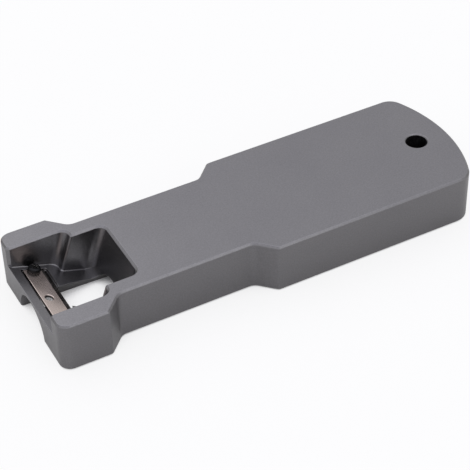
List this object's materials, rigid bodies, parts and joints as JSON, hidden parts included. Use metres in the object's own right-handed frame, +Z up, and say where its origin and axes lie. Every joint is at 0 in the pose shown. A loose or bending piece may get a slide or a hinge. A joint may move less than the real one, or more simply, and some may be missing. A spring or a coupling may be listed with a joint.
{
  "type": "fibre cable stripper",
  "caption": "Hand-held cable stripper: a waisted metal handle whose head has a sloping bed with a screwed-down blade, an open throat, a cable groove beneath and a hang hole.",
  "frame": {"origin": "centre of the overall box, on the handle's flat underside", "axes": "+X from the head to the tail along the handle, +Y across it, +Z up through its thickness from the cable groove's side to the pocket's side"},
  "size_m": [0.1244, 0.04, 0.0148],
  "materials": {
    "anodised_block": "grey anodised over a fine bead-blasted surface",
    "blade_steel": "surface-ground tool steel",
    "black_screw": "black oxide, satin"
  },
  "bodies": {
    "body": {"body": "anodised_block", "blade": "blade_steel"},
    "far_screw": {"far_screw": "black_screw"},
    "near_screw": {"near_screw": "black_screw"}
  },
  "joints": [
    {"name": "far_screw_turn", "type": "hinge", "parent": "body", "child": "far_screw", "pos_m": [-0.05627, 0.0116, 0.00666], "axis": [0.3256, 0, 0.9455], "continuous": true},
    {"name": "near_screw_turn", "type": "hinge", "parent": "body", "child": "near_screw", "pos_m": [-0.05627, -0.0116, 0.00666], "axis": [0.3256, 0, 0.9455], "continuous": true}
  ]
}
